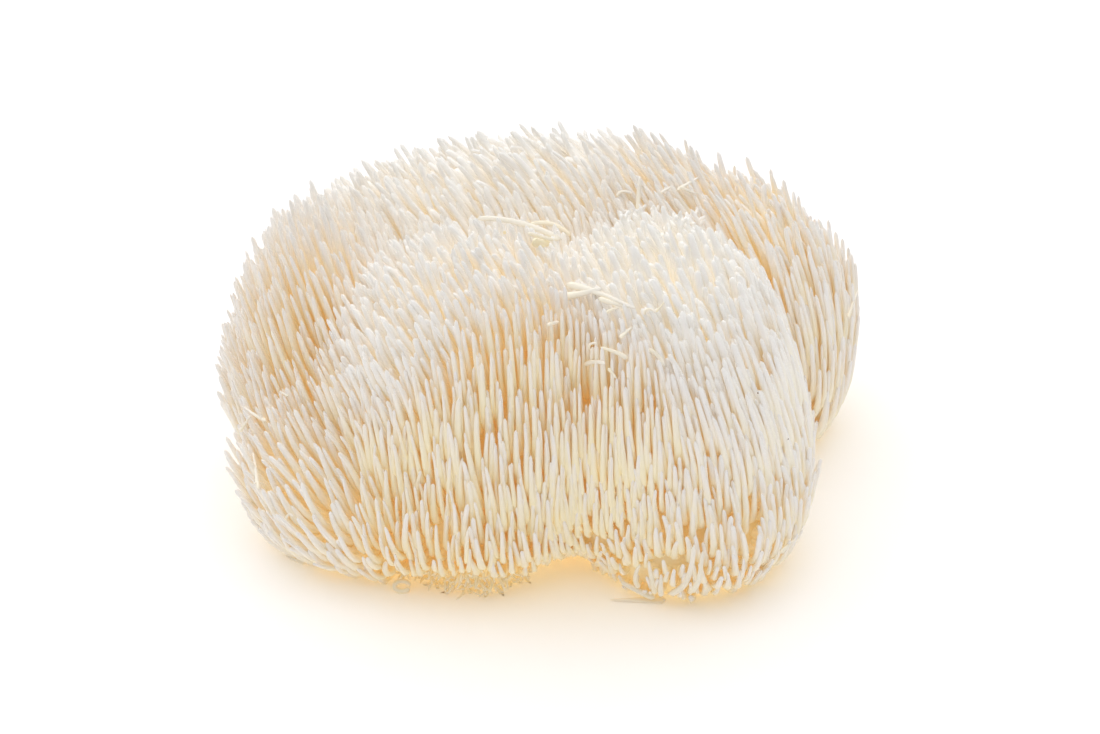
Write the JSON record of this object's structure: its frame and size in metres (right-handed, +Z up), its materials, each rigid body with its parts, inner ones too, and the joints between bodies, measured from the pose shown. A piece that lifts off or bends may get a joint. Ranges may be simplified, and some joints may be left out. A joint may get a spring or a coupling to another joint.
{
  "type": "lion's mane mushroom",
  "caption": "Whole lion's mane mushroom: a cluster of rounded lobes with long soft spines, resting on the flat cut where it left its log.",
  "frame": {"origin": "a point on the flat cut underneath, near the middle of the mushroom's outline", "axes": "+Z up from the cut, the way the spines point; +X along the widest extent; -Y towards the large front lobe"},
  "size_m": [0.1475, 0.113, 0.0833],
  "materials": {
    "mushroom_flesh": "moist, soft and slightly see-through; off-white spine tips, amber towards the roots"
  },
  "bodies": {
    "root": {"fruiting_body": "mushroom_flesh"}
  },
  "joints": []
}
